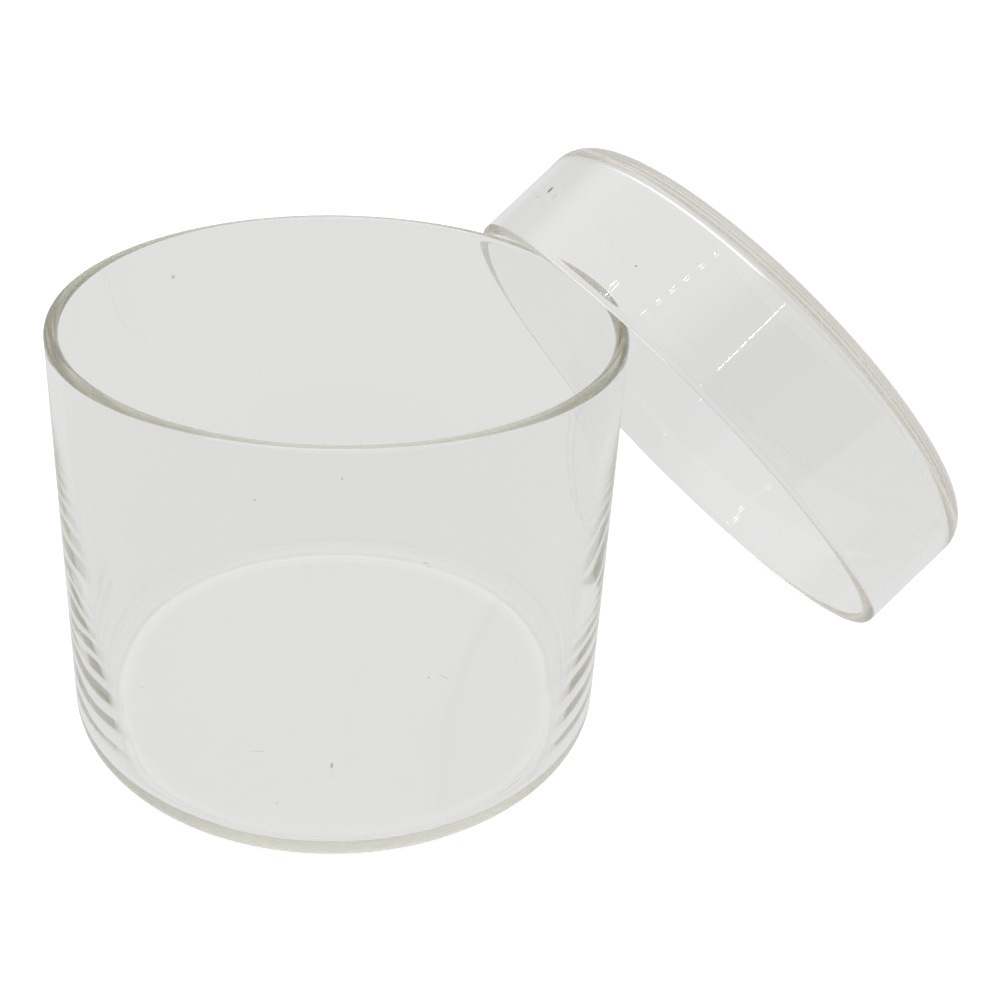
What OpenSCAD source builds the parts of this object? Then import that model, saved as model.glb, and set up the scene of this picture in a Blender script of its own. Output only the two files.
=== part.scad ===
// Crystallizing dish with its cap lid.
// The dish is a plain round jar of clear glass. Its wall is straight outside and thickens inwards lower down.
// It stands on a flat foot, outside which the underside rises a little, and its rim is fire-polished.
// The lid is a shallow glass cap that fits loosely over the outside of the dish.
// Here the lid is taken off. Its lip stands on the table and leans on the dish's rim, with its mouth towards
// the dish. The origin is the centre of the dish's underside, +Z is up, and +X points from the dish to the lid.

/* [Dish] */
// Outer diameter of the dish
dish_d = 100; // [60:1:180]
// Height of the dish, from its underside to the top of its rim
dish_h = 80; // [50:1:140]
// Thickness of the dish's wall at its rim
wall_t = 2.4; // [1.6:0.1:4]
// Height below which the wall thickens inwards
thickening_h = 45; // [30:1:60]
// Angle between the inside of the wall and the upright, below that height
inside_slope = 2.3; // [0.5:0.1:3.5]
// Thickness of the dish's floor
floor_t = 2.8; // [2:0.1:6]
// Radius of the inside corner between the wall and the floor
fillet_r = 2.5; // [1.5:0.1:8]
// Radius of the outside corner between the wall and the underside
heel_r = 5; // [3.5:0.1:6]
// Distance from the outside of the wall in to the flat foot
foot_inset = 6.5; // [6:0.1:16]
// Angle at which the underside rises between the foot and the outside corner
underside_slope = 8; // [4:0.5:12]

/* [Lid] */
// Height of the lid, from its lip to its flat top
lid_h = 26.8; // [18:0.1:45]
// Thickness of the lid's skirt
lid_t = 2.4; // [1.6:0.1:3.5]
// Thickness of the lid's flat top
lid_top_t = 3.8; // [2.4:0.1:5]
// Space between the dish's wall and the inside of the lid's skirt, on each side
lid_clearance = 2.6; // [0.8:0.1:5]
// Radius of the outside corner between the lid's skirt and its top
shoulder_r = 5.6; // [4.5:0.1:12]
// Radius of the inside corner between the lid's skirt and its top
lid_fillet_r = 2; // [1:0.1:4]

/* [Leaning lid] */
// Angle between the lid's flat top and the table
lean = 51.7; // [35:0.1:75]
// Space left between the lid's lip and the dish's rim where they meet
contact_gap = 0.25; // [0.1:0.05:0.5]

/* [Smoothness] */
// Segments in a full circle
segments = 180; // [60:12:360]

/* [Hidden] */
$fn = segments;

// Outside corner of the dish: its middle, and the point where the rising underside runs into it
dish_r = dish_d / 2;
foot_r = dish_r - foot_inset;
heel_mid_r = dish_r - heel_r;
heel_end_r = heel_mid_r + heel_r * sin(underside_slope);
heel_end_z = (heel_end_r - foot_r) * tan(underside_slope);
heel_mid_z = heel_end_z + heel_r * cos(underside_slope);
// Inside of the dish: its radius at the rim, and the point where the wall runs into the inside corner
inside_r = dish_r - wall_t;
fillet_end_z = floor_t + fillet_r * (1 - sin(inside_slope));
fillet_end_r = inside_r - (thickening_h - fillet_end_z) * tan(inside_slope);
fillet_mid_r = fillet_end_r - fillet_r * cos(inside_slope);
fillet_mid_z = floor_t + fillet_r;
// Radius at which the lid's skirt starts, and its outside radius
skirt_r = dish_r + lid_clearance;
lid_r = skirt_r + lid_t;
// Middle of the dish's rounded rim: its radius and its height
rim_r = dish_r - wall_t / 2;
rim_z = dish_h - wall_t / 2;
// Middle of the lid's rounded lip: its radius, and the height of its centre when the lip stands on the table
lip_r = lid_r - lid_t / 2;
lip_z = lip_r * sin(lean) + lid_t / 2;
// Distance between the middles of the rim and the lip where they meet
meeting_distance = (wall_t + lid_t) / 2 + contact_gap;
// Steps used to find where the lid comes to lean: degrees round the lip, and millimetres towards the dish
lip_step = 0.5;
slide_step = 1;
halvings = 16;

// Point on the middle of the lip, for a lip centred at x and an angle a from its lowest point
function lip_point(x, a) =
    [x + lip_r * cos(a) * cos(lean), lip_r * sin(a), lip_z - lip_r * cos(a) * sin(lean)];
// Distance from a point to the middle of the dish's wall, which ends at the rim
function wall_distance(p) = norm([norm([p.x, p.y]) - rim_r, max(p.z - rim_z, 0)]);
// Smallest distance from the middle of the lip to the middle of the dish's wall, for a lip centred at x
function lip_distance(x) = min([for (a = [0:lip_step:180]) wall_distance(lip_point(x, a))]);
// The lid slides in from x until its lip is too near the dish, and then the last step is halved
function first_meeting(x) = lip_distance(x) < meeting_distance ? x : first_meeting(x - slide_step);
function halve(near_x, far_x, n) =
    n == 0 ? far_x
    : lip_distance((near_x + far_x) / 2) < meeting_distance
        ? halve((near_x + far_x) / 2, far_x, n - 1)
        : halve(near_x, (near_x + far_x) / 2, n - 1);
too_near_x = first_meeting(rim_r + lip_r + meeting_distance);
// Where the middle of the lip is centred, with the lid leaning on the dish
lean_x = halve(too_near_x, too_near_x + slide_step, halvings);

// Half section of the dish as a solid block, up to the middle of its rim
module dish_block_section() {
    translate([0, heel_mid_z]) square([dish_r, rim_z - heel_mid_z]);
    polygon([[0, 0], [foot_r, 0], [heel_end_r, heel_end_z], [heel_mid_r, heel_mid_z], [0, heel_mid_z]]);
    translate([heel_mid_r, heel_mid_z]) circle(heel_r);
}

// Half section of the room inside the dish
module dish_room_section() {
    translate([0, thickening_h]) square([inside_r, dish_h - thickening_h]);
    polygon([
        [0, floor_t],
        [fillet_mid_r, floor_t],
        [fillet_mid_r, fillet_mid_z],
        [fillet_end_r, fillet_end_z],
        [inside_r, thickening_h],
        [0, thickening_h]
    ]);
    translate([fillet_mid_r, fillet_mid_z]) circle(fillet_r);
}

module dish() {
    color([0.86, 0.88, 0.86, 0.4])
        rotate_extrude() {
            difference() {
                dish_block_section();
                dish_room_section();
            }
            translate([rim_r, rim_z]) circle(wall_t / 2);
        }
}

// Half section of a solid round block from bottom to top, with its lower outside corner rounded
module block_section(r, bottom, top, corner_r) {
    translate([0, bottom + corner_r]) square([r, top - bottom - corner_r]);
    translate([0, bottom]) square([r - corner_r, corner_r * 2]);
    translate([r - corner_r, bottom + corner_r]) circle(corner_r);
}

// The lid upside down, standing on its flat top with its lip up
module upturned_lid() {
    lip_mid_z = lid_h - lid_t / 2;
    rotate_extrude() {
        difference() {
            block_section(lid_r, 0, lip_mid_z, shoulder_r);
            block_section(skirt_r, lid_top_t, lid_h, lid_fillet_r);
        }
        translate([lip_r, lip_mid_z]) circle(lid_t / 2);
    }
}

module lid() {
    color([0.84, 0.87, 0.84, 0.4])
        translate([lean_x, 0, lip_z])
            rotate([0, lean, 0])
                translate([0, 0, lid_h - lid_t / 2])
                    mirror([0, 0, 1])
                        upturned_lid();
}

dish();
lid();
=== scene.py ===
"""Crystallizing dish with its cap lid: two pieces of clear glass on a white table, in a light tent."""

from __future__ import annotations

import logging
import math
from dataclasses import dataclass
from enum import Enum
from typing import Any

import bpy
import numpy as np
from mathutils import Matrix, Vector


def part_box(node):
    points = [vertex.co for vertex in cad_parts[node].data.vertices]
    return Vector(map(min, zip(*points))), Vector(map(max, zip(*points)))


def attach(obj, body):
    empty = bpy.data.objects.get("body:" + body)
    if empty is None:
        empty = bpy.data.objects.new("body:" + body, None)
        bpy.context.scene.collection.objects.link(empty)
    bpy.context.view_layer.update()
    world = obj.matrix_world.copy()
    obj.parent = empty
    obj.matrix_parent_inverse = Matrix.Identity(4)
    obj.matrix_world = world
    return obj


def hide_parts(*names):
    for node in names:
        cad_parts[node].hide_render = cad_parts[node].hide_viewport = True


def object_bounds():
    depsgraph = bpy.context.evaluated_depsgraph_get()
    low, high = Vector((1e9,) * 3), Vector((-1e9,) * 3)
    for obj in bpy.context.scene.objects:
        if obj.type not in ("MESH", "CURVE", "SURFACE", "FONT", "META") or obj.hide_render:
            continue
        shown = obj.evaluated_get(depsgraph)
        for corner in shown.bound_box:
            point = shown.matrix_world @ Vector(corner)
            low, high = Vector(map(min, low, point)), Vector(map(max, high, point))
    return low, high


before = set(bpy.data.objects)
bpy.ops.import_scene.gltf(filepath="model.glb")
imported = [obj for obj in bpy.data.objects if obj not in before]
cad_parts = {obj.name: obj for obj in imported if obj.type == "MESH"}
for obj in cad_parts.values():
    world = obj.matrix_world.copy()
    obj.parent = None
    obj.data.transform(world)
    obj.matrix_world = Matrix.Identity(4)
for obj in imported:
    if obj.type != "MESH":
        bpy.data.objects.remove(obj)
cad_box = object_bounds()

LOG = logging.getLogger("crystallizing_dish")
MM = 0.001
WHITE = (1.0, 1.0, 1.0, 1.0)
UP = Vector((0.0, 0.0, 1.0))

# Points along the runs of a profile
RIM_POINTS = 17
CORNER_POINTS = 18
FLOOR_POINTS = 12
WALL_POINTS = 90
INSIDE_POINTS = 111

# Share of its own reach out to which a mark is at full strength
MARK_CORE = 0.5
# How often light may bounce in the glass, and pass a face that is fully see-through
GLASS_BOUNCES = 128
OPEN_BOUNCES = 16


class Ray(Enum):
    """Kinds of ray that a material tells apart."""

    CAMERA = "Is Camera Ray"
    GLOSSY = "Is Glossy Ray"
    PASSING = "Is Transmission Ray"


class Socket:
    """One output socket of a material, with the arithmetic operators that add Math nodes behind it."""

    def __init__(self, graph: Graph, socket: bpy.types.NodeSocket) -> None:
        """Keep the socket and the graph that it belongs to."""
        self.graph = graph
        self.socket = socket

    def _math(self, operation: str, *values: Any) -> Socket:
        """Add a Math node.

        Args:
            operation: the Math node's operation.
            values: its inputs in order, as numbers or sockets.

        Returns:
            The node's result.
        """
        return self.graph.add("ShaderNodeMath", {"operation": operation}, dict(enumerate(values)))

    def __add__(self, other: Any) -> Socket:
        """Sum."""
        return self._math("ADD", self, other)

    __radd__ = __add__

    def __sub__(self, other: Any) -> Socket:
        """Difference."""
        return self._math("SUBTRACT", self, other)

    def __rsub__(self, other: Any) -> Socket:
        """Difference from a number."""
        return self._math("SUBTRACT", other, self)

    def __mul__(self, other: Any) -> Socket:
        """Product."""
        return self._math("MULTIPLY", self, other)

    __rmul__ = __mul__

    def __truediv__(self, other: Any) -> Socket:
        """Quotient."""
        return self._math("DIVIDE", self, other)

    def absolute(self) -> Socket:
        """The value without its sign."""
        return self._math("ABSOLUTE", self)

    def at_least(self, other: Any) -> Socket:
        """The larger of two values."""
        return self._math("MAXIMUM", self, other)

    def ramp_down(self, full: float, none: float) -> Socket:
        """Fall smoothly from 1 to 0.

        Args:
            full: the value up to which the result is 1.
            none: the value from which the result is 0.

        Returns:
            The smooth step.
        """
        settings = {"interpolation_type": "SMOOTHSTEP"}
        inputs = {"Value": self, "From Min": full, "From Max": none, "To Min": 1.0, "To Max": 0.0}
        return self.graph.add("ShaderNodeMapRange", settings, inputs)


class Graph:
    """A node tree that is filled through one method."""

    def __init__(self, tree: bpy.types.NodeTree) -> None:
        """Empty the tree and keep it."""
        self.tree = tree
        tree.nodes.clear()

    def add(
        self,
        kind: str,
        settings: dict[str, Any] | None = None,
        inputs: dict[str | int, Any] | None = None,
        output: str | int = 0,
    ) -> Socket:
        """Add a node, with its settings first and its inputs after them.

        Args:
            kind: the node's type name.
            settings: attributes of the node.
            inputs: input name or number to a plain value, or to a socket to link.
            output: name or number of the output to hand back.

        Returns:
            That output, ready for arithmetic.
        """
        node = self.tree.nodes.new(kind)
        for name, value in (settings or {}).items():
            setattr(node, name, value)
        for name, value in (inputs or {}).items():
            if isinstance(value, Socket):
                self.tree.links.new(value.socket, node.inputs[name])
            else:
                node.inputs[name].default_value = value
        if not len(node.outputs):
            return Socket(self, None)
        return Socket(self, node.outputs[output])

    def radius(self) -> Socket:
        """Work out the distance from the part's upright axis.

        Returns:
            The distance.
        """
        point = self.add("ShaderNodeTexCoord", output="Object")
        flat = self.add("ShaderNodeVectorMath", {"operation": "MULTIPLY"}, {0: point, 1: (1.0, 1.0, 0.0)})
        return self.add("ShaderNodeVectorMath", {"operation": "LENGTH"}, {0: flat}, "Value")

    def ray(self, kind: Ray) -> Socket:
        """Tell whether the ray that asks is of one kind.

        Args:
            kind: the kind of ray.

        Returns:
            1 if it is, and 0 if not.
        """
        return self.add("ShaderNodeLightPath", output=kind.value)


@dataclass(frozen=True)
class Mark:
    """A small dark mark on the glass: a speck or a scratch.

    Attributes:
        place: its middle in the part's frame, in millimetres.
        length: its length, in millimetres.
        width: its width, in millimetres.
        turn: angle from the X axis to its length, seen from above, in degrees.
        strength: share of the light that it stops in its middle.
        reach: how far it reaches up and down from its middle, in millimetres.
    """

    place: tuple[float, float, float]
    length: float
    width: float
    turn: float = 0.0
    strength: float = 1.0
    reach: float = 0.5

    def cover(self, graph: Graph, point: Socket) -> Socket:
        """Work out how much light the mark stops: its strength in its middle, falling to 0 at its edge.

        Args:
            graph: the material's nodes.
            point: place on the glass, in the part's frame.

        Returns:
            The share that it stops.
        """
        inputs = {
            "Vector": point,
            "Location": [value * MM for value in self.place],
            "Rotation": (0.0, 0.0, math.radians(self.turn)),
            "Scale": (self.length / 2 * MM, self.width / 2 * MM, self.reach * MM),
        }
        local = graph.add("ShaderNodeMapping", {"vector_type": "TEXTURE"}, inputs)
        off = graph.add("ShaderNodeVectorMath", {"operation": "LENGTH"}, {0: local}, "Value")
        return off.ramp_down(MARK_CORE, 1.0) * self.strength


@dataclass(frozen=True)
class GlassFinish:
    """Clear laboratory glass with a few small marks.

    Attributes:
        name: the material's name.
        marks: its specks and scratches.
        tint: what a face lets through, red, green and blue.
        mark_tint: what a marked face lets through.
        ior: index of refraction.
        depth_tint: colour that the body of the glass keeps over a long way.
        depth: density of that tint, per metre.
        ground: roughness of the floor's two faces, which are a little dull.
        ground_edge: radius at which the dull part of the floor ends.
        edge_blur: width of the soft edge there.
        wave: height of the slow waves in the glass round the base.
        wave_top: height above which those waves have faded out.
        wave_scale: fineness of those waves, per metre.
    """

    name: str
    marks: tuple[Mark, ...] = ()
    tint: tuple[float, float, float] = (0.968, 0.967, 0.963)
    mark_tint: tuple[float, float, float] = (0.03, 0.03, 0.03)
    ior: float = 1.5
    depth_tint: tuple[float, float, float] = (0.68, 0.67, 0.5)
    depth: float = 5.4
    ground: float = 0.0
    ground_edge: float = 43.0 * MM
    edge_blur: float = 1.0 * MM
    wave: float = 0.0
    wave_top: float = 40.0 * MM
    wave_scale: float = 60.0

    def make(self) -> bpy.types.Material:
        """Make the material.

        Returns:
            The glass, with its tint in depth.
        """
        material = bpy.data.materials.new(self.name)
        material.use_nodes = True
        graph = Graph(material.node_tree)
        inputs = {
            "Base Color": self.face_colour(graph),
            "Roughness": self.dullness(graph),
            "IOR": self.ior,
            "Transmission Weight": 1.0,
        }
        if self.wave:
            inputs["Normal"] = self.waves(graph)
        surface = graph.add("ShaderNodeBsdfPrincipled", inputs=inputs)
        through = {"Color": (*self.depth_tint, 1.0), "Density": self.depth}
        body = graph.add("ShaderNodeVolumeAbsorption", inputs=through)
        graph.add("ShaderNodeOutputMaterial", inputs={"Surface": surface, "Volume": body})
        return material

    def dullness(self, graph: Graph) -> Socket | float:
        """Work out the roughness: the floor's out to its edge, and nothing on the wall and the rim.

        Args:
            graph: the material's nodes.

        Returns:
            The roughness.
        """
        if not self.ground:
            return 0.0
        return graph.radius().ramp_down(self.ground_edge - self.edge_blur, self.ground_edge) * self.ground

    def waves(self, graph: Graph) -> Socket:
        """Make the slow waves that moulding leaves in the thick glass round the base.

        Args:
            graph: the material's nodes.

        Returns:
            The bent normal.
        """
        point = graph.add("ShaderNodeTexCoord", output="Object")
        height = graph.add("ShaderNodeSeparateXYZ", inputs={"Vector": point}, output="Z")
        low = height.ramp_down(self.wave_top / 2, self.wave_top)
        outer = 1 - graph.radius().ramp_down(self.ground_edge, self.ground_edge + self.edge_blur)
        pattern = {"Vector": point, "Scale": self.wave_scale, "Detail": 0.0}
        noise = graph.add("ShaderNodeTexNoise", inputs=pattern)
        inputs = {"Height": noise * low * outer, "Distance": self.wave, "Strength": 1.0}
        return graph.add("ShaderNodeBump", inputs=inputs)

    def face_colour(self, graph: Graph) -> Socket | tuple[float, ...]:
        """Work out what a face lets through: its tint, darkened under the marks.

        Args:
            graph: the material's nodes.

        Returns:
            The colour.
        """
        plain = (*self.tint, 1.0)
        if not self.marks:
            return plain
        point = graph.add("ShaderNodeTexCoord", output="Object")
        covers = [mark.cover(graph, point) for mark in self.marks]
        most = covers[0]
        for cover in covers[1:]:
            most = most.at_least(cover)
        colours = {"Fac": most, "Color1": plain, "Color2": (*self.mark_tint, 1.0)}
        return graph.add("ShaderNodeMixRGB", inputs=colours)


# Each mark has its place, length and width, and where they aren't plain, its turn, strength and reach
DISH_MARKS = (
    Mark((-11.4, -25.1, 2.8), 1.9, 0.6, -120.0, 0.75),
    Mark((33.6, 27.8, 2.9), 1.4, 0.55, -45.0, 0.75),
    Mark((33.6, 26.3, 2.8), 1.2, 0.4, -100.0, 0.4),
    Mark((-22.8, -16.5, 2.8), 4.0, 0.3, -20.0, 0.3),
    Mark((18.6, -10.6, 2.8), 3.4, 0.34, -58.0, 0.3),
    Mark((15.8, -9.7, 2.8), 0.6, 0.5, 0.0, 0.6),
    Mark((-23.6, -29.7, 2.8), 0.8, 0.5, 30.0, 0.3),
    Mark((-21.2, -29.4, 2.8), 0.9, 0.3, -10.0, 0.3),
    Mark((34.7, -12.2, 2.8), 1.6, 0.3, -105.0, 0.35),
    Mark((-37.4, 9.3, 2.8), 2.4, 0.4, -40.0, 0.3),
    Mark((8.5, 5.2, 2.8), 0.45, 0.4, 0.0, 0.3),
    Mark((-16.3, 44.7, 71.8), 1.3, 1.3, 0.0, 0.5),
    Mark((-19.2, -46.2, 75.3), 0.3, 0.3, 0.0, 0.7, 0.2),
    Mark((-30.3, -39.8, 70.8), 0.3, 0.3, 0.0, 0.7, 0.2),
)
LID_MARKS = (
    Mark((49.0, 13.5, 91.9), 1.8, 1.3, 20.0, 1.0, 1.8),
    Mark((48.9, 18.4, 89.9), 0.4, 0.4),
    Mark((47.5, 15.2, 90.1), 0.5, 0.5),
    Mark((62.9, -30.3, 93.4), 0.4, 0.4),
    Mark((47.5, -18.9, 88.6), 0.4, 0.4),
)


def arc(centre: tuple[float, float], radius: float, start: float, end: float, count: int) -> np.ndarray:
    """Points of an arc: its centre plus its radius times the cosine and sine of an angle from start to end.

    Args:
        centre: the arc's centre.
        radius: its radius.
        start: first angle in degrees.
        end: last angle in degrees.
        count: number of points.

    Returns:
        An array of (radius, height) points.
    """
    angle = np.radians(np.linspace(start, end, count))
    return np.column_stack([centre[0] + radius * np.cos(angle), centre[1] + radius * np.sin(angle)])


def straight(start: tuple[float, float], end: tuple[float, float], count: int) -> np.ndarray:
    """Evenly spaced points strictly between two ends, for a straight run of a profile.

    Args:
        start: end that comes first.
        end: end that comes last.
        count: number of points between them.

    Returns:
        An array of (radius, height) points.
    """
    share = np.linspace(0.0, 1.0, count + 2)[1:-1, None]
    return np.asarray(start) * (1 - share) + np.asarray(end) * share


def revolve(name: str, profile: np.ndarray, turns: int) -> bpy.types.Mesh:
    """Turn a closed profile about the Z axis into a closed mesh.

    A point is (r cos a, r sin a, z), where (r, z) runs along the profile and a round the circle. The first
    and last points of the profile lie on the axis and become one vertex each.

    Args:
        name: the mesh's name.
        profile: (radius, height) points, running so that the solid lies on their left.
        turns: number of steps round the circle.

    Returns:
        The mesh, with smooth faces that point outwards.
    """
    rings = profile[1:-1]
    step = np.arange(turns)
    angle = step * (2 * np.pi / turns)
    grid = np.empty((len(rings), turns, 3))
    grid[..., 0] = rings[:, :1] * np.cos(angle)
    grid[..., 1] = rings[:, :1] * np.sin(angle)
    grid[..., 2] = rings[:, 1:]
    first, last = [0.0, 0.0, profile[0, 1]], [0.0, 0.0, profile[-1, 1]]
    points = np.vstack([grid.reshape(-1, 3), [first, last]])
    after = (step + 1) % turns
    row = np.arange(len(rings) - 1)[:, None] * turns
    above = row + turns
    quads = np.stack([row + step, row + after, above + after, above + step], axis=-1).reshape(-1, 4)
    top_row = (len(rings) - 1) * turns
    first_index, last_index = len(rings) * turns, len(rings) * turns + 1
    first_fan = np.column_stack([np.full(turns, first_index), after, step])
    last_fan = np.column_stack([np.full(turns, last_index), top_row + step, top_row + after])
    mesh = bpy.data.meshes.new(name)
    mesh.from_pydata(points.tolist(), [], quads.tolist() + first_fan.tolist() + last_fan.tolist())
    mesh.polygons.foreach_set("use_smooth", np.ones(len(mesh.polygons), dtype=bool))
    mesh.update()
    return mesh


def show(name: str, mesh: bpy.types.Mesh, material: bpy.types.Material) -> bpy.types.Object:
    """Put a mesh into the scene at the origin, in one material.

    Args:
        name: the object's name.
        mesh: its mesh, in metres and in the part's frame.
        material: its material.

    Returns:
        The object.
    """
    mesh.materials.append(material)
    piece = bpy.data.objects.new(name, mesh)
    bpy.context.scene.collection.objects.link(piece)
    return piece


@dataclass
class GlassCup:
    """A round glass cup with a full round edge: the form that the dish and the lid share.

    Attributes:
        radius: outside radius.
        height: from the underside to the edge.
        wall: thickness of the wall at the edge.
        floor: thickness of the floor.
        heel: radius of the outside corner.
        fillet: radius of the inside corner.
        foot_inset: distance from the outside of the wall in to the flat foot.
        foot_slope: rise of the underside between the foot and the outside corner, in degrees.
        growth: how much thicker the wall is where it meets the inside corner.
        growth_from: height below which it thickens.
        turns: steps round the circle.
    """

    radius: float
    height: float
    wall: float
    floor: float
    heel: float
    fillet: float
    foot_inset: float
    foot_slope: float = 0.0
    growth: float = 0.0
    growth_from: float = 0.0
    turns: int = 288

    def profile(self) -> np.ndarray:
        """Work out the closed half section, from the middle of the underside out, up, over the edge and back.

        Returns:
            (radius, height) points.
        """
        edge = self.height - self.wall / 2
        rim = arc((self.radius - self.wall / 2, edge), self.wall / 2, 0, 180, RIM_POINTS)
        outside = self.outside()
        wall = straight(tuple(outside[-1]), (self.radius, edge), WALL_POINTS)
        return np.vstack([outside, wall, rim, self.inside(edge)])

    def outside(self) -> np.ndarray:
        """Work out the underside: the flat foot, the straight rise outside it and the round outside corner.

        Returns:
            (radius, height) points, from the axis to the bottom of the wall.
        """
        slope = math.radians(self.foot_slope)
        foot = self.radius - self.foot_inset
        middle = self.radius - self.heel
        rise = (middle + self.heel * math.sin(slope) - foot) * math.tan(slope)
        centre = (middle, rise + self.heel * math.cos(slope))
        corner = arc(centre, self.heel, self.foot_slope - 90, 0, CORNER_POINTS)
        flat = straight((0.0, 0.0), (foot, 0.0), FLOOR_POINTS)
        ends = [[foot, 0.0]] if slope else np.empty((0, 2))
        return np.vstack([[[0.0, 0.0]], flat, ends, corner])

    def inside(self, edge: float) -> np.ndarray:
        """Work out the inside: the wall, the round inside corner and the floor.

        The wall's thickness is that at the edge, plus the growth times the square of the share of the way
        down from the height where the growth starts. The corner starts at the slope that the wall ends with.

        Args:
            edge: height at which the inside of the wall begins.

        Returns:
            (radius, height) points, from below the edge to the axis.
        """
        drop = self.growth_from - self.floor - self.fillet
        lean = math.atan(2 * self.growth / drop) if self.growth else 0.0
        low = self.floor + self.fillet * (1 - math.sin(lean))
        height = np.linspace(edge, low, INSIDE_POINTS + 1)[1:]
        share = np.clip((self.growth_from - height) / (self.growth_from - low), 0.0, 1.0)
        wall = np.column_stack([self.radius - self.wall - self.growth * share**2, height])
        middle = wall[-1, 0] - self.fillet * math.cos(lean)
        centre = (middle, self.floor + self.fillet)
        corner = arc(centre, self.fillet, -math.degrees(lean), -90, CORNER_POINTS)
        flat = straight((middle, self.floor), (0.0, self.floor), FLOOR_POINTS)
        return np.vstack([wall, corner[1:], flat, [[0.0, self.floor]]])


@dataclass
class Dish:
    """The dish: a straight-sided jar whose wall thickens inwards lower down, as one piece of glass.

    Attributes:
        wall: thickness of the wall at the rim.
        growth: how much thicker the wall is at the inside corner.
        growth_from: height below which it thickens.
        floor: thickness of the floor.
        heel: radius of the outside corner.
        fillet: radius of the inside corner.
        foot_inset: distance from the outside of the wall in to the flat foot.
        foot_slope: rise of the underside outside the foot, in degrees.
        finish: its glass.
    """

    wall: float = 2.4 * MM
    growth: float = 1.6 * MM
    growth_from: float = 66.0 * MM
    floor: float = 2.8 * MM
    heel: float = 5.0 * MM
    fillet: float = 2.5 * MM
    foot_inset: float = 6.5 * MM
    foot_slope: float = 8.0
    finish: GlassFinish = GlassFinish("dish_glass", DISH_MARKS, ground=0.11, wave=0.4 * MM)

    def build(self) -> bpy.types.Object:
        """Make the dish in the box of its CAD node.

        Returns:
            The finished piece.
        """
        low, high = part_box("dish")
        cup = GlassCup(
            radius=(high.x - low.x) / 2,
            height=high.z - low.z,
            wall=self.wall,
            floor=self.floor,
            heel=self.heel,
            fillet=self.fillet,
            foot_inset=self.foot_inset,
            foot_slope=self.foot_slope,
            growth=self.growth,
            growth_from=self.growth_from,
        )
        return self.dress(revolve("dish_body", cup.profile(), cup.turns))

    def dress(self, mesh: bpy.types.Mesh) -> bpy.types.Object:
        """Give the dish its glass, and let it ride on its body.

        Args:
            mesh: the dish's mesh.

        Returns:
            The finished piece.
        """
        piece = show("dish_body", mesh, self.finish.make())
        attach(piece, "dish")
        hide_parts("dish")
        return piece


@dataclass
class Lid:
    """The cap lid, leaning on the dish with its lip on the table.

    Attributes:
        wall: thickness of the skirt.
        top: thickness of the flat top.
        height: from the lip to the flat top.
        shoulder: radius of the outside corner.
        fillet: radius of the inside corner.
        lean: angle between the flat top and the table, in degrees.
        finish: its glass.
    """

    wall: float = 2.4 * MM
    top: float = 3.8 * MM
    height: float = 26.8 * MM
    shoulder: float = 5.6 * MM
    fillet: float = 2.0 * MM
    lean: float = 51.7
    finish: GlassFinish = GlassFinish("lid_glass", LID_MARKS, depth_tint=(0.7, 0.64, 0.48), depth=3.6)

    def place(self) -> Matrix:
        """Work out where the upright cup goes, from the box of the lid's CAD node.

        The lip's lowest point is at the bottom of the box, and the point that reaches farthest over the dish
        is at its low X side, which gives the middle of the lip. The cup is turned mouth down, tipped and put
        there.

        Returns:
            The cup's place.
        """
        low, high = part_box("lid")
        lip = (high.y - low.y) / 2 - self.wall / 2
        tip = math.radians(self.lean)
        x = low.x + lip * math.cos(tip) + self.wall / 2
        z = low.z + lip * math.sin(tip) + self.wall / 2
        centre = Vector((x, (high.y + low.y) / 2, z))
        lift = Matrix.Translation(UP * (self.height - self.wall / 2))
        mouth_down = lift @ Matrix.Rotation(math.pi, 4, "X")
        return Matrix.Translation(centre) @ Matrix.Rotation(tip, 4, "Y") @ mouth_down

    def build(self) -> bpy.types.Object:
        """Make the lid where its CAD node leans.

        Returns:
            The finished piece.
        """
        low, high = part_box("lid")
        cup = GlassCup(
            radius=(high.y - low.y) / 2,
            height=self.height,
            wall=self.wall,
            floor=self.top,
            heel=self.shoulder,
            fillet=self.fillet,
            foot_inset=self.shoulder,
        )
        mesh = revolve("lid_body", cup.profile(), cup.turns)
        mesh.transform(self.place())
        return self.dress(mesh)

    def dress(self, mesh: bpy.types.Mesh) -> bpy.types.Object:
        """Give the lid its glass, and let it ride on its body.

        Args:
            mesh: the lid's mesh.

        Returns:
            The finished piece.
        """
        piece = show("lid_body", mesh, self.finish.make())
        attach(piece, "lid")
        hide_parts("lid")
        return piece


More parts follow.
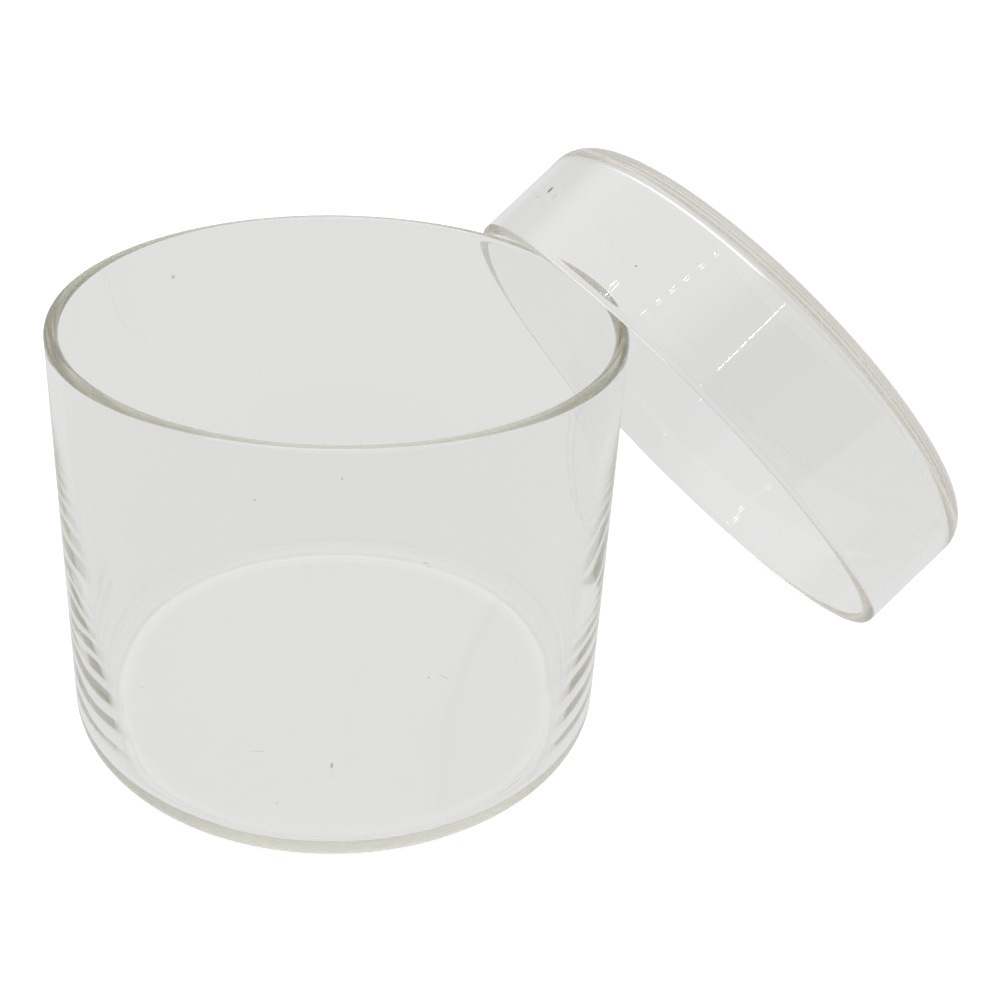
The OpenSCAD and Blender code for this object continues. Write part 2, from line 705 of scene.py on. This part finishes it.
@dataclass
class Table:
    """The white table top, which shows the glass's shadow.

    Attributes:
        size: length of a side.
        drop: how far it lies below the dish, so that the two faces don't coincide.
        shine_white: light that the table adds for the eye, so that it reads as white.
        paper: light that the table shows through and in the glass.
        colour: colour of its paper in lamp light.
        painted_caustic: painted light, a ring in the table's own glow, seen only in and through the glass,
            standing in for the light that the dish's corner would gather on the table inside its foot.
        painted_caustic_inner: radius at which that light starts.
        painted_caustic_peak: radius at which it is strongest.
        painted_caustic_outer: radius at which it ends.
        painted_shadow: painted shade, light taken out of the table's glow in a narrow ring where that painted
            ring ends.
        painted_shadow_width: half width of that narrow ring.
    """

    size: float = 6.0
    drop: float = 0.02 * MM
    shine_white: float = 0.7
    paper: float = 0.775
    colour: float = 0.8
    painted_caustic: float = 0.05
    painted_caustic_inner: float = 40.0 * MM
    painted_caustic_peak: float = 43.4 * MM
    painted_caustic_outer: float = 45.2 * MM
    painted_shadow: float = 0.06
    painted_shadow_width: float = 1.0 * MM

    def build(self) -> bpy.types.Object:
        """Make the table top at the height that the object stands on.

        Returns:
            The table.
        """
        half = self.size / 2
        z = cad_box[0].z - self.drop
        corners = [(-half, -half, z), (half, -half, z), (half, half, z), (-half, half, z)]
        mesh = bpy.data.meshes.new("table")
        mesh.from_pydata(corners, [], [(0, 1, 2, 3)])
        table = show("table", mesh, self.material())
        return table

    def material(self) -> bpy.types.Material:
        """White paper: its own soft light for the eye and for the glass, over lamp light with shadows.

        Returns:
            The paper.
        """
        material = bpy.data.materials.new("table_paper")
        material.use_nodes = True
        graph = Graph(material.node_tree)
        camera = graph.ray(Ray.CAMERA)
        in_glass = graph.ray(Ray.GLOSSY).at_least(graph.ray(Ray.PASSING)) * (1 - camera)
        # What the glass sees of the table includes a painted ring of light and a painted shadow under the
        # dish.
        strength = camera * self.shine_white + in_glass * (self.painted_caustic_ring(graph) + self.paper)
        own = graph.add("ShaderNodeEmission", inputs={"Color": WHITE, "Strength": strength})
        lit = graph.add("ShaderNodeBsdfDiffuse", inputs={"Color": (*[self.colour] * 3, 1.0)})
        both = graph.add("ShaderNodeAddShader", inputs={0: own, 1: lit})
        shown = graph.add("ShaderNodeMixShader", inputs={"Fac": in_glass, 1: both, 2: own})
        graph.add("ShaderNodeOutputMaterial", inputs={"Surface": shown})
        return material

    def painted_caustic_ring(self, graph: Graph) -> Socket:
        """Work out the painted light under the dish: a painted ring of light that rises outwards and ends
        near the foot's edge, and a painted shadow that dips there.

        Args:
            graph: the table's nodes.

        Returns:
            The painted light, less the painted shadow.
        """
        radius = graph.radius()
        # Painted light: a ring in the table's glow that rises outwards and falls near the foot's edge.
        rise = 1 - radius.ramp_down(self.painted_caustic_inner, self.painted_caustic_peak)
        ring = rise * radius.ramp_down(self.painted_caustic_peak, self.painted_caustic_outer)
        # Painted shadow: a narrow dark ring just outside that painted ring.
        dip = 1 - radius.ramp_down(self.painted_caustic_outer - self.painted_shadow_width, self.painted_caustic_outer)
        dip = dip * radius.ramp_down(self.painted_caustic_outer, self.painted_caustic_outer + self.painted_shadow_width)
        return ring * self.painted_caustic - dip * self.painted_shadow


@dataclass(frozen=True)
class LedBar:
    """A short bar of small lamps in the roof of the light tent, which faces the dish.

    Attributes:
        right: its middle, to the right of the dish, in metres.
        near: its middle, towards the open front.
        up: its middle, above the table.
        along: the bar's direction, right, near and up.
        count: number of lamps in a row.
        rows: number of rows.
        lamp: length of a lamp's side.
        pitch: space between lamps.
        shine: brightness of a lamp.
    """

    right: float
    near: float
    up: float
    along: tuple[float, float, float] = (1.0, 0.0, 0.0)
    count: int = 6
    rows: int = 1
    lamp: float = 0.007
    pitch: float = 0.025
    shine: float = 14.0

    def build(self, name: str, axes: Matrix) -> bpy.types.Object:
        """Make the bar as a row of squares that shine.

        Args:
            name: its name.
            axes: the room's axes, right, near and up, as columns.

        Returns:
            The bar.
        """
        centre = axes @ Vector((self.right, self.near, self.up))
        along = (axes @ Vector(self.along)).normalized()
        across = centre.cross(along).normalized()
        points, faces = [], []
        for row in range(self.rows):
            for step in range(self.count):
                middle = centre + along * (step - (self.count - 1) / 2) * self.pitch
                middle += across * (row - (self.rows - 1) / 2) * self.pitch
                first = len(points)
                for x, y in ((-1, -1), (1, -1), (1, 1), (-1, 1)):
                    points.append(middle + (along * x + across * y) * self.lamp / 2)
                faces.append(tuple(range(first, first + 4)))
        mesh = bpy.data.meshes.new(name)
        mesh.from_pydata(points, [], faces)
        material = bpy.data.materials.new(name)
        material.use_nodes = True
        graph = Graph(material.node_tree)
        light = graph.add("ShaderNodeEmission", inputs={"Color": WHITE, "Strength": self.shine})
        graph.add("ShaderNodeOutputMaterial", inputs={"Surface": light})
        bar = show(name, mesh, material)
        return bar


def spread(middle: float, half: float) -> tuple[float, float]:
    """The two ends of a stretch, from its middle and its half width."""
    return middle - half, middle + half


@dataclass
class Studio:
    """A white light tent with an open front and bars of small lamps in its roof.

    Attributes:
        front: direction of the open front, from the X axis towards +Y, in degrees.
        wall: brightness of the tent's cloth.
        roof: brightness of the lit part of its roof.
        opening: brightness of the room seen through the open front.
        opening_half: half width of the open front, as a share of its distance.
        opening_top: top of the open front, as a share of its distance.
        side_blur: half width of the soft edge at the open front's sides.
        top_blur: half width of the soft edge at its top.
        front_fade: shares of a direction that point to the front, where the open front starts and is full.
        lit: place where the roof's lit part reaches farthest forward, as the shares of its direction to the
            front and to the right.
        lit_weight: weight of the way forward from there, against the squared way to the side.
        lit_fade: values of their sum where the light starts to fall and has ended, along a parabola.
        lit_rise: shares of a direction that point up, where the lit part starts and is full.
        bars: the bars of lamps.
    """

    front: float = -117.0
    wall: float = 0.72
    roof: float = 1.25
    opening: float = 0.42
    opening_half: float = 1.1
    opening_top: float = 0.92
    side_blur: float = 0.06
    top_blur: float = 0.05
    front_fade: tuple[float, float] = (0.1, 0.3)
    lit: tuple[float, float] = (0.42, -0.15)
    lit_weight: float = 0.5
    lit_fade: tuple[float, float] = (0.02, 0.12)
    lit_rise: tuple[float, float] = (0.3, 0.6)
    bars: tuple[LedBar, ...] = (
        LedBar(-0.62, 0.04, 1.20, count=3, rows=2, lamp=0.012, pitch=0.034, shine=40.0),
        LedBar(-0.38, 0.42, 1.30, shine=22.0),
        LedBar(0.28, 0.42, 1.30, shine=30.0),
        LedBar(0.165, 1.0, 1.056, along=(0.6, -0.55, 0.6), count=9, lamp=0.009, pitch=0.012, shine=30.0),
    )

    def axes(self) -> tuple[Vector, Vector]:
        """Work out the directions towards the open front and to the right when looking in through it.

        Returns:
            The two level directions.
        """
        turn = math.radians(self.front)
        near = Vector((math.cos(turn), math.sin(turn), 0.0))
        return near, near.cross(-UP)

    def build(self) -> None:
        """Make the tent and its lamps."""
        self.tent()
        near, right = self.axes()
        axes = Matrix((right, near, UP)).transposed()
        for number, bar in enumerate(self.bars):
            bar.build(f"lamps_{number}", axes)

    def tent(self) -> None:
        """Make the tent's light: white for the eye, and for the glass its cloth, lit roof and open front."""
        world = bpy.data.worlds.new("tent")
        bpy.context.scene.world = world
        world.use_nodes = True
        graph = Graph(world.node_tree)
        camera = graph.ray(Ray.CAMERA)
        direction = graph.add("ShaderNodeTexCoord", output="Generated")
        near, side, up = (
            graph.add("ShaderNodeVectorMath", {"operation": "DOT_PRODUCT"}, {0: direction, 1: axis}, "Value")
            for axis in (*self.axes(), UP)
        )
        # Behind the place where the open front starts, the least value keeps the two quotients finite
        faced = near.at_least(self.front_fade[0] / 2)
        opening = (side / faced).absolute().ramp_down(*spread(self.opening_half, self.side_blur))
        opening = opening * (up / faced).ramp_down(*spread(self.opening_top, self.top_blur))
        opening = opening * (1 - near.ramp_down(*self.front_fade))
        forward, aside = near - self.lit[0], side - self.lit[1]
        lit = (forward * self.lit_weight + aside * aside).ramp_down(*self.lit_fade)
        lit = lit * (1 - up.ramp_down(*self.lit_rise))
        shade = self.wall + lit * (self.roof - self.wall) + opening * (self.opening - self.wall)
        strength = camera + shade * (1 - camera)
        room = graph.add("ShaderNodeBackground", inputs={"Color": WHITE, "Strength": strength})
        graph.add("ShaderNodeOutputWorld", inputs={"Surface": room})


@dataclass
class View:
    """The camera, on the mouth's side of the leaning lid and above the rim.

    Attributes:
        bearing: turn from straight along the Y axis to the line of sight, seen from above, in degrees.
        away: distance along the table from the dish's axis.
        height: height over the table.
        pan: turn to the right of the dish's axis, in degrees.
        tilt: tilt down, in degrees.
        roll: roll, in degrees.
        sensor: width of the sensor, in millimetres.
        lens: focal length, in millimetres.
        shift: lens shift, right and up.
        nearest: distance at which the camera starts to see.
    """

    bearing: float = 23.228
    away: float = 231.47 * MM
    height: float = 179.775 * MM
    pan: float = 3.707
    tilt: float = 27.313
    roll: float = -2.252
    sensor: float = 36.0
    lens: float = 52.214
    shift: tuple[float, float] = (0.0776, -0.0856)
    nearest: float = 10.0 * MM

    def build(self) -> bpy.types.Object:
        """Make the camera and make it the scene's.

        Returns:
            The camera.
        """
        data = bpy.data.cameras.new("view")
        data.lens = self.lens
        data.sensor_width = self.sensor
        data.shift_x, data.shift_y = self.shift
        data.clip_start = self.nearest
        camera = bpy.data.objects.new("view", data)
        bpy.context.scene.collection.objects.link(camera)
        bearing, pan, tilt, roll = np.radians((self.bearing, self.pan, self.tilt, self.roll))
        heading = bearing + pan
        ahead = Vector((math.sin(heading), math.cos(heading), 0.0))
        forward = math.cos(tilt) * ahead - math.sin(tilt) * UP
        level = ahead.cross(UP)
        down = forward.cross(level)
        right = math.cos(roll) * level + math.sin(roll) * down
        below = -math.sin(roll) * level + math.cos(roll) * down
        turned = Matrix((right, -below, -forward)).transposed().to_4x4()
        place = Vector((-self.away * math.sin(bearing), -self.away * math.cos(bearing), self.height))
        camera.matrix_world = Matrix.Translation(place) @ turned
        bpy.context.scene.camera = camera
        return camera


def set_light_paths() -> None:
    """Let light pass through enough glass faces, and keep colours as they are written."""
    scene = bpy.context.scene
    scene.view_settings.view_transform = "Standard"
    scene.cycles.max_bounces = GLASS_BOUNCES
    scene.cycles.transmission_bounces = GLASS_BOUNCES
    scene.cycles.glossy_bounces = GLASS_BOUNCES
    scene.cycles.transparent_max_bounces = OPEN_BOUNCES


def main() -> None:
    """Build the pieces, the table, the studio and the camera, and report each piece."""
    logging.basicConfig(level=logging.INFO, format="%(message)s")
    for part in (Dish(), Lid()):
        piece = part.build()
        LOG.info("%s: %d faces", piece.name, len(piece.data.polygons))
    Table().build()
    Studio().build()
    View().build()
    set_light_paths()


if __name__ == "__main__":
    main()
